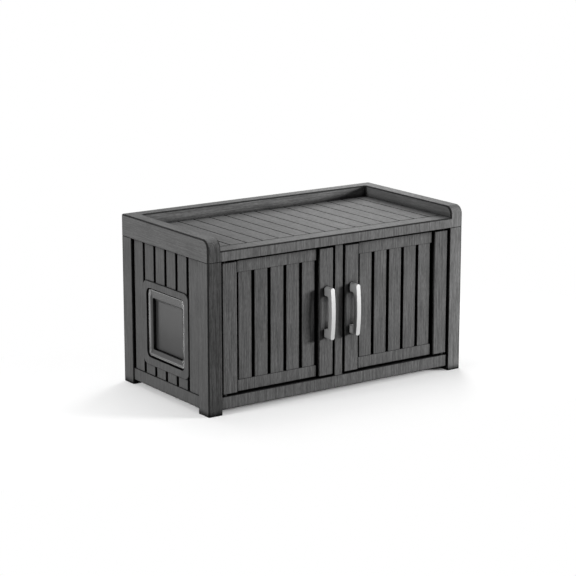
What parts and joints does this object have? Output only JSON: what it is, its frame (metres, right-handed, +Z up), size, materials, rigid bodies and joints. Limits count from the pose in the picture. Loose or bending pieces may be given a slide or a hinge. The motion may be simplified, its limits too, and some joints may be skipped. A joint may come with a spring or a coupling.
{
  "type": "litter box enclosure cabinet",
  "caption": "Low bench-height cabinet in moulded wood-grain resin that hides a litter box, with hinged plank doors, bow pulls, a tray top and a side cat entrance with a swinging flap.",
  "frame": {"origin": "on the floor, under the middle of the whole object, handles included", "axes": "+X to the right along the front, +Y from the doors to the back, +Z up"},
  "size_m": [0.95, 0.525, 0.532],
  "materials": {
    "grained_resin": "charcoal, embossed wood grain, satin matte",
    "bezel_plastic": "charcoal, smooth satin with glossy lips",
    "flap_plastic": "smoked grey, smooth",
    "handle_plastic": "grey, fine satin",
    "bright_strip": "bright satin silver",
    "steel": "plain zinc-plated",
    "dark_steel": "blackened steel",
    "magnet": "dark nickel"
  },
  "bodies": {
    "cabinet": {"top_tray": "grained_resin", "front_left_post": "grained_resin", "front_right_post": "grained_resin", "rear_left_post": "grained_resin", "rear_right_post": "grained_resin", "left_side_panel": "grained_resin", "right_side_panel": "grained_resin", "back_panel": "grained_resin", "floor_panel": "grained_resin", "front_bottom_rail": "grained_resin", "center_mullion": "grained_resin", "cat_door_bezel": "bezel_plastic", "cat_door_inner_ring": "bezel_plastic", "cat_door_screws": "steel", "flap_hinge_pin": "steel", "left_door_catch": "magnet", "right_door_catch": "magnet"},
    "left_leaf": {"left_door": "grained_resin", "left_door_upper_pin": "dark_steel", "left_door_lower_pin": "dark_steel", "left_handle": "handle_plastic", "left_handle_strip": "bright_strip", "left_handle_screws": "steel", "left_strike_plate": "steel"},
    "right_leaf": {"right_door": "grained_resin", "right_door_upper_pin": "dark_steel", "right_door_lower_pin": "dark_steel", "right_handle": "handle_plastic", "right_handle_strip": "bright_strip", "right_handle_screws": "steel", "right_strike_plate": "steel"},
    "flap": {"cat_flap": "flap_plastic"}
  },
  "joints": [
    {"name": "left_door_hinge", "type": "hinge", "parent": "cabinet", "child": "left_leaf", "pos_m": [-0.4095, -0.2135, 0.25875], "axis": [0, 0, -1], "range_deg": [0, 105]},
    {"name": "right_door_hinge", "type": "hinge", "parent": "cabinet", "child": "right_leaf", "pos_m": [0.4095, -0.2135, 0.25875], "axis": [0, 0, 1], "range_deg": [0, 105]},
    {"name": "flap_hinge", "type": "hinge", "parent": "cabinet", "child": "flap", "pos_m": [-0.451, 0.0165, 0.291], "axis": [0, 1, 0], "range_deg": [-80, 80]}
  ]
}
